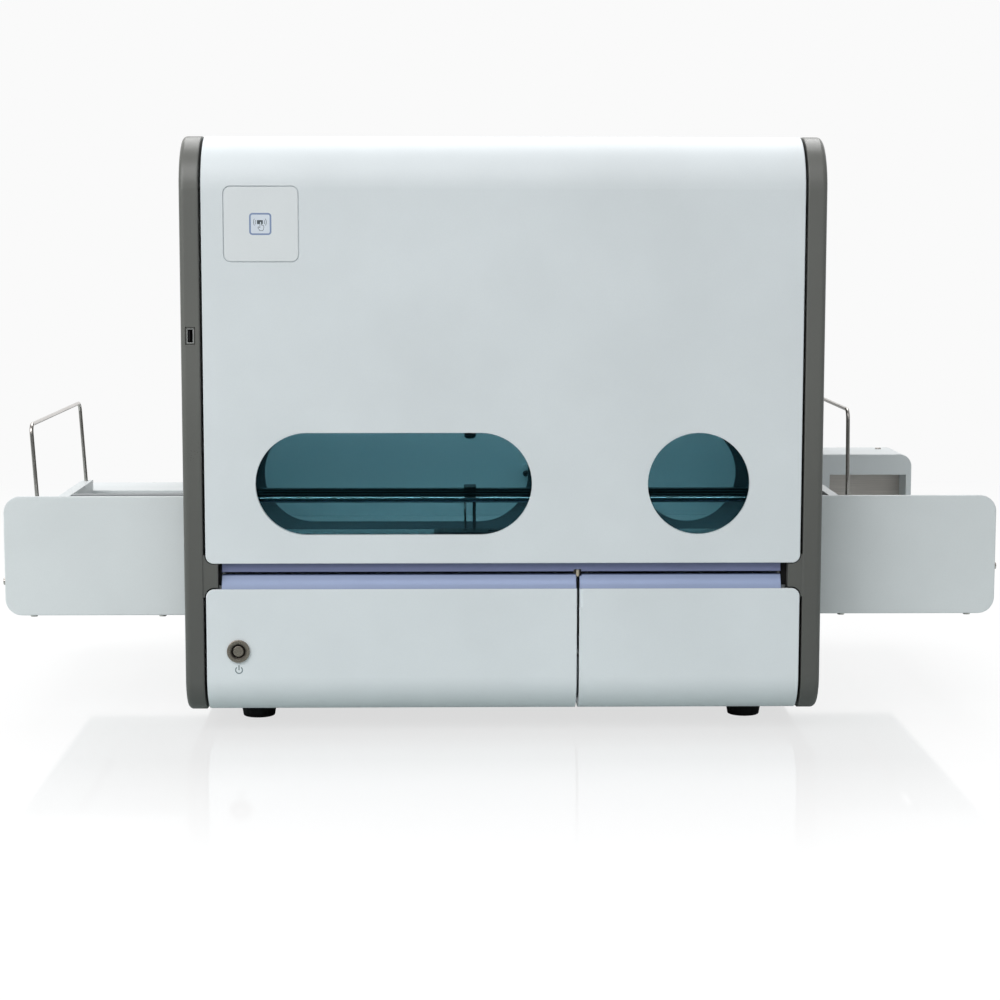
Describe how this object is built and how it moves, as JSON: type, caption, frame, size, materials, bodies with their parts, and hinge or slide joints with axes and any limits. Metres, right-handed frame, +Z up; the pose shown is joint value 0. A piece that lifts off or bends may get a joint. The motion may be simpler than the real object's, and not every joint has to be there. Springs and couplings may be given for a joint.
{
  "type": "urine analyzer",
  "caption": "Benchtop urine analyzer with hinged white hood, two tinted windows, grey side panels, a lower waste drawer and an open sample rack tray with wire guard on each side.",
  "frame": {"origin": "middle of the footprint, on the surface that the feet stand on", "axes": "+Z up, the operator stands at -Y and looks along +Y, +X to the operator's right"},
  "size_m": [0.966, 0.6024, 0.563],
  "materials": {
    "white_shell": "fine textured white moulded plastic",
    "side_grey": "satin warm dark grey moulded plastic",
    "tray_white": "satin white moulded plastic",
    "accent_band": "satin pale blue violet plastic",
    "accent_dark": "satin slate blue paint",
    "reader_pad": "fine textured white plastic with a printed icon",
    "tinted_pane": "teal tinted clear plastic",
    "black_plastic": "black moulded plastic",
    "bay_wall": "pale grey painted sheet",
    "frame_steel": "grey powder coated steel sheet",
    "rubber_foot": "black rubber",
    "polished_steel": "polished stainless steel",
    "rail_aluminium": "anodised aluminium",
    "rail_black": "black anodised aluminium",
    "brushed_plate": "brushed stainless sheet",
    "switch_metal": "turned stainless steel",
    "zinc_steel": "zinc plated steel",
    "catch_beige": "beige acetal",
    "grey_plastic": "grey moulded plastic",
    "drum_white": "natural white acetal",
    "belt_rubber": "black toothed belt",
    "pulley_plastic": "black acetal",
    "circuit_board": "green circuit board with parts"
  },
  "bodies": {
    "analyzer": {"left_front_cover": "white_shell", "top_rear_cover": "white_shell", "left_side_panel": "side_grey", "right_side_panel": "side_grey", "left_tray_fascia": "tray_white", "right_tray_fascia": "tray_white", "left_tray_base": "tray_white", "right_tray_base": "tray_white", "left_rear_housing": "tray_white", "right_rear_housing": "tray_white", "left_cover_trim": "accent_band", "front_cross_beam": "accent_dark", "inner_partition": "black_plastic", "wash_station": "black_plastic", "photometer_unit": "black_plastic", "strip_drum_housing": "black_plastic", "bay_back_wall": "bay_wall", "deck_plate": "bay_wall", "base_chassis": "frame_steel", "inner_frames": "frame_steel", "hinge_beam": "frame_steel", "rear_panel": "frame_steel", "drawer_runners": "frame_steel", "feet": "rubber_foot", "guide_rod": "polished_steel", "hinge_pins": "polished_steel", "left_wire_guard": "polished_steel", "right_wire_guard": "polished_steel", "tray_screws": "polished_steel", "power_supply": "rail_aluminium", "rail_beam": "rail_black", "housing_backplate": "brushed_plate", "usb_socket": "brushed_plate", "power_switch_bezel": "switch_metal", "drawer_catch": "catch_beige", "conveyor_bed": "grey_plastic", "mains_inlet": "grey_plastic", "fan_frame": "grey_plastic", "conveyor_belt": "belt_rubber", "control_board": "circuit_board"},
    "hood": {"hood_shell": "white_shell", "reader_pad": "reader_pad", "hood_liner": "black_plastic", "window_pane_long": "tinted_pane", "window_pane_round": "tinted_pane", "hinge_leaves": "zinc_steel"},
    "waste_drawer": {"drawer_front": "white_shell", "drawer_trim": "accent_band", "drawer_box": "grey_plastic"},
    "strip_bin": {"waste_bin": "grey_plastic"},
    "start_button": {"power_button": "switch_metal"},
    "rocker": {"mains_rocker": "black_plastic"},
    "carriage": {"carriage_block": "black_plastic"},
    "needle": {"sample_needle": "polished_steel"},
    "drive_roller": {"drive_pulley": "pulley_plastic"},
    "idler_roller": {"idler_pulley": "pulley_plastic"},
    "fan": {"fan_rotor": "grey_plastic"},
    "drum": {"strip_drum": "drum_white"},
    "left_pusher": {"left_rack_pusher": "grey_plastic"},
    "right_pusher": {"right_rack_pusher": "grey_plastic"}
  },
  "joints": [
    {"name": "hood_hinge", "type": "hinge", "parent": "analyzer", "child": "hood", "pos_m": [0, 0.0712, 0.549], "axis": [-1, 0, 0], "range_deg": [0, 70]},
    {"name": "drawer_slide", "type": "slide", "parent": "analyzer", "child": "waste_drawer", "axis": [0, -1, 0], "range_m": [0, 0.33]},
    {"name": "bin_lift", "type": "slide", "parent": "waste_drawer", "child": "strip_bin", "axis": [0, 0, 1], "range_m": [0, 0.025]},
    {"name": "start_button_press", "type": "slide", "parent": "analyzer", "child": "start_button", "axis": [0, 1, 0], "range_m": [0, 0.002], "stiffness_N_per_m": 600},
    {"name": "mains_rocker_tilt", "type": "hinge", "parent": "analyzer", "child": "rocker", "pos_m": [-0.215, 0.2922, 0.106], "axis": [-1, 0, 0], "range_deg": [0, 14]},
    {"name": "carriage_travel", "type": "slide", "parent": "analyzer", "child": "carriage", "axis": [1, 0, 0], "range_m": [-0.2, 0.25]},
    {"name": "needle_lift", "type": "slide", "parent": "carriage", "child": "needle", "axis": [0, 0, 1], "range_m": [0, 0.025]},
    {"name": "drive_roller_spin", "type": "hinge", "parent": "analyzer", "child": "drive_roller", "pos_m": [-0.252, 0.1242, 0.104], "axis": [0, 1, 0], "continuous": true},
    {"name": "idler_roller_spin", "type": "hinge", "parent": "analyzer", "child": "idler_roller", "pos_m": [0.252, 0.1242, 0.104], "axis": [0, 1, 0], "continuous": true},
    {"name": "fan_spin", "type": "hinge", "parent": "analyzer", "child": "fan", "pos_m": [0.18, 0.2812, 0.35], "axis": [0, 1, 0], "continuous": true},
    {"name": "drum_spin", "type": "hinge", "parent": "analyzer", "child": "drum", "pos_m": [0.14, 0.0112, 0.242], "axis": [1, 0, 0], "continuous": true},
    {"name": "left_pusher_slide", "type": "slide", "parent": "analyzer", "child": "left_pusher", "axis": [0, 1, 0], "range_m": [-0.195, 0.096]},
    {"name": "right_pusher_slide", "type": "slide", "parent": "analyzer", "child": "right_pusher", "axis": [0, 1, 0], "range_m": [0, 0.3]}
  ],
  "couplings": [
    {"joint": "idler_roller_spin", "follows": "drive_roller_spin", "ratio": 1}
  ]
}
